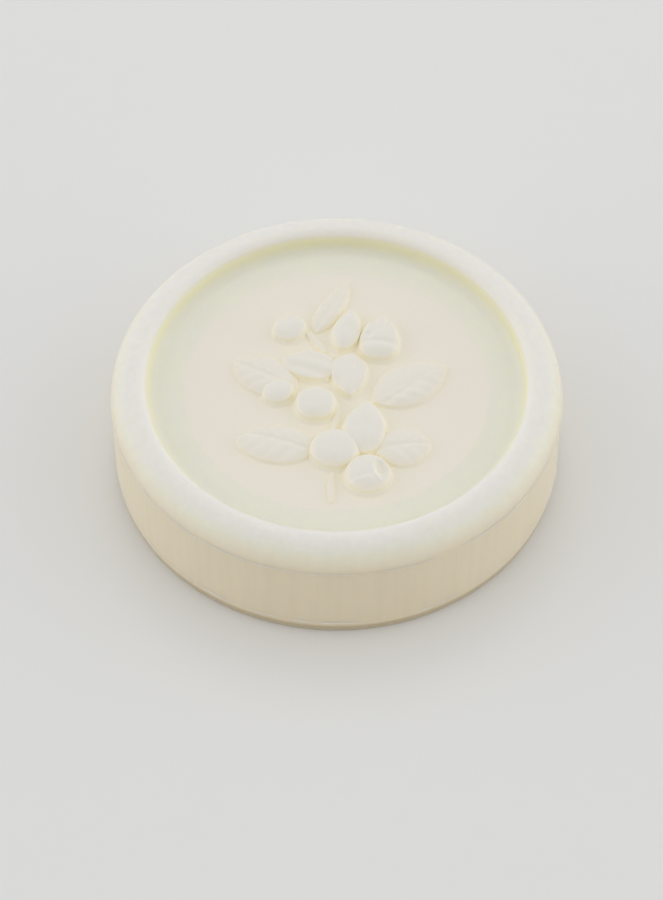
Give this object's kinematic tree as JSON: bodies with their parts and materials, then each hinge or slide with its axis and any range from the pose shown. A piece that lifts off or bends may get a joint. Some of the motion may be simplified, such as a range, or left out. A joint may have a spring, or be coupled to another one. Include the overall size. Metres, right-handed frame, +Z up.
{
  "type": "shaving soap puck",
  "caption": "Round pressed cake of hard shaving soap with a rounded rim, a shallow dish to load a brush from, and a raised sprig of leaves and nuts.",
  "frame": {"origin": "middle of the flat base, on the surface that the puck stands on", "axes": "+Z up, out of the dish; -Y towards the foot of the sprig's stem, which is the reader's side; +X to the reader's right"},
  "size_m": [0.0803, 0.0802, 0.022],
  "materials": {
    "cake_soap": "smooth waxy matte, off-white soap",
    "sprig_soap": "smooth waxy matte, off-white soap",
    "flash_soap": "dry crumbly matte, pale off-white soap"
  },
  "bodies": {
    "root": {"puck_body": "cake_soap", "upper_flash": "flash_soap", "lower_flash": "flash_soap", "lower_stem": "sprig_soap", "middle_stem": "sprig_soap", "upper_stem": "sprig_soap", "front_nut": "sprig_soap", "drop_nut": "sprig_soap", "centre_nut": "sprig_soap", "top_nut": "sprig_soap", "left_bud": "sprig_soap", "side_bud": "sprig_soap", "open_husk": "sprig_soap", "blossom": "sprig_soap", "left_petal": "sprig_soap", "right_petal": "sprig_soap", "seed_beads": "sprig_soap", "left_upper_leaf": "sprig_soap", "left_lower_leaf": "sprig_soap", "right_upper_leaf": "sprig_soap", "right_lower_leaf": "sprig_soap", "top_leaf": "sprig_soap"}
  },
  "joints": []
}
